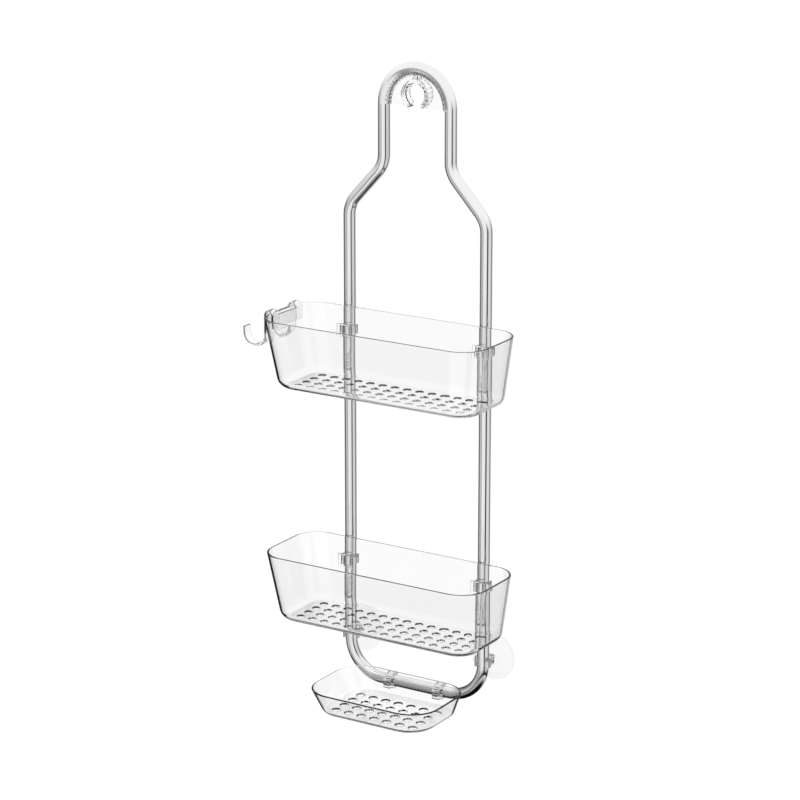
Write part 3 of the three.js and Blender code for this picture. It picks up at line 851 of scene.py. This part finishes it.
def studio_floor():
    material, tree = new_material("white_studio_floor")
    shader = add(tree, "ShaderNodeBsdfPrincipled", {"Base Color": colour("FCFCFC"), "Roughness": 0.9})
    close_material(tree, shader)
    bm = bmesh.new()
    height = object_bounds()[0][2] - FLOOR_DROP
    bmesh.ops.create_circle(bm, cap_ends=True, segments=96, radius=FLOOR_RADIUS,
                            matrix=Matrix.Translation((0, 0, height)))
    floor = new_object("studio_floor", bm)
    floor.data.materials.append(material)
    floor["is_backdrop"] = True


def screen_shade(tree, place):
    """The screen's shade at each bearing round its upright axis, faded to white at its top."""
    parts = add(tree, "ShaderNodeSeparateXYZ", {"Vector": place})
    forwards = add(tree, "ShaderNodeMath", {0: parts.outputs["Y"], 1: -1.0}, operation="MULTIPLY")
    bearing = add(tree, "ShaderNodeMath", {0: parts.outputs["X"], 1: forwards.outputs[0]},
                  operation="ARCTAN2")
    past_back = add(tree, "ShaderNodeMath", {0: bearing.outputs[0], 1: math.pi - AZIMUTH}, operation="ADD")
    turns = add(tree, "ShaderNodeMath", {0: past_back.outputs[0], 1: 2 * math.pi}, operation="DIVIDE")
    share = add(tree, "ShaderNodeMath", {0: turns.outputs[0]}, operation="FRACT")
    ramp = add(tree, "ShaderNodeValToRGB", {"Fac": share.outputs[0]})
    while len(ramp.color_ramp.elements) < len(TENT_SHADES):
        ramp.color_ramp.elements.new(0.5)
    for element, (degrees, shade) in zip(ramp.color_ramp.elements, TENT_SHADES):
        element.position = (degrees + 180) / 360
        element.color = colour(shade)
    height = add(tree, "ShaderNodeMapRange", {
        "Value": parts.outputs["Z"], "From Min": TENT_FADE[0], "From Max": TENT_FADE[1],
    }, interpolation_type="SMOOTHSTEP")
    faded = add(tree, "ShaderNodeMix", {0: height.outputs[0], 6: ramp.outputs["Color"], 7: colour("FFFFFF")},
                data_type="RGBA")
    clear_of_skirt = add(tree, "ShaderNodeMapRange", {
        "Value": parts.outputs["Z"], "From Min": SKIRT_FADE[0], "From Max": SKIRT_FADE[1],
    }, interpolation_type="SMOOTHSTEP")
    skirted = add(tree, "ShaderNodeMix", {
        0: clear_of_skirt.outputs[0], 6: colour(SKIRT_SHADE), 7: faded.outputs[2],
    }, data_type="RGBA")
    return skirted.outputs[2]


def cloth_painted_shade(tree, place):
    """The cloth's tone, darkest under the caddy: painted shade that the caddy's undersides see in their
    reflections.
    """
    far = add(tree, "ShaderNodeVectorMath", {0: place, 1: (1.0, 1.0, 0.0)}, operation="MULTIPLY")
    radius = add(tree, "ShaderNodeVectorMath", {0: far.outputs[0]}, operation="LENGTH")
    share = add(tree, "ShaderNodeMapRange", {
        "Value": radius.outputs["Value"], "From Min": CLOTH_FADE[0], "From Max": CLOTH_FADE[1],
    }, interpolation_type="SMOOTHSTEP")
    # the dark middle is painted shade under the caddy, and the rim is light
    middle, rim = CLOTH_PAINTED_SHADES
    mixed = add(tree, "ShaderNodeMix", {0: share.outputs[0], 6: colour(middle), 7: colour(rim)},
                data_type="RGBA")
    return mixed.outputs[2]


def tent_material(name, shade_of):
    """Shows only to light that has bounced off a gloss, so it is seen in things and never through them."""
    material, tree = new_material(name)
    place = add(tree, "ShaderNodeTexCoord").outputs["Object"]
    glow = add(tree, "ShaderNodeEmission", {"Color": shade_of(tree, place), "Strength": 1.0})
    clear = add(tree, "ShaderNodeBsdfTransparent")
    path = add(tree, "ShaderNodeLightPath")
    bounced = add(tree, "ShaderNodeMath", {0: path.outputs["Glossy Depth"], 1: 0.5},
                  operation="GREATER_THAN")
    mixed = add(tree, "ShaderNodeMixShader", {
        0: bounced.outputs[0], 1: clear.outputs[0], 2: glow.outputs[0],
    })
    close_material(tree, mixed)
    return material


def reflection_tent():
    """A round screen and a floor cloth that only the chrome's and the plastic's gloss see. The screen's shade
    changes round it, from white in front to dark strips at the right and behind, as flags and cards do. The
    cloth's dark middle is painted shade under the caddy."""
    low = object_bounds()[0][2] - FLOOR_DROP
    bm = bmesh.new()
    bmesh.ops.create_cone(bm, cap_ends=False, segments=128, radius1=TENT_RADIUS, radius2=TENT_RADIUS,
                          depth=TENT_HEIGHT, matrix=Matrix.Translation((0, 0, low + TENT_HEIGHT / 2)))
    screen = new_object("tent_screen", bm)
    screen.data.materials.append(tent_material("tent_screen", screen_shade))
    bm = bmesh.new()
    bmesh.ops.create_circle(bm, cap_ends=True, segments=128, radius=TENT_RADIUS,
                            matrix=Matrix.Translation((0, 0, low + 5 * MM)))
    # the cloth carries painted shade under the caddy, seen only in reflections
    cloth = new_object("painted_shade_cloth", bm)
    cloth.data.materials.append(tent_material("painted_shade_cloth", cloth_painted_shade))
    for part in (screen, cloth):
        for kind in ("camera", "diffuse", "shadow"):
            setattr(part, f"visible_{kind}", False)
        part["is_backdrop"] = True


def softbox(name, azimuth, elevation, distance, width, height, power):
    """A lamp that gives light but no highlight. Its azimuth is in degrees from the camera's."""
    data = bpy.data.lights.new(name, "AREA")
    data.shape = "RECTANGLE"
    data.size = width
    data.size_y = height
    data.energy = power
    lamp = bpy.data.objects.new(name, data)
    bpy.context.scene.collection.objects.link(lamp)
    towards = camera_direction(AZIMUTH + math.radians(azimuth), math.radians(elevation))
    lamp.location = AIM + towards * distance
    lamp.rotation_euler = towards.to_track_quat("Z", "Y").to_euler()
    lamp.visible_glossy = False


def studio_world():
    world = bpy.data.worlds.new("studio")
    world.use_nodes = True
    tree = world.node_tree
    tree.nodes.clear()
    sky = add(tree, "ShaderNodeBackground", {"Color": colour("FFFFFF"), "Strength": 1.04})
    add(tree, "ShaderNodeOutputWorld", {"Surface": sky.outputs[0]})
    bpy.context.scene.world = world


studio_camera()
studio_floor()
studio_world()
reflection_tent()
softbox("top_softbox", azimuth=-40, elevation=60, distance=2.6, width=2.0, height=1.4, power=4)
bpy.context.scene.view_settings.view_transform = "Standard"
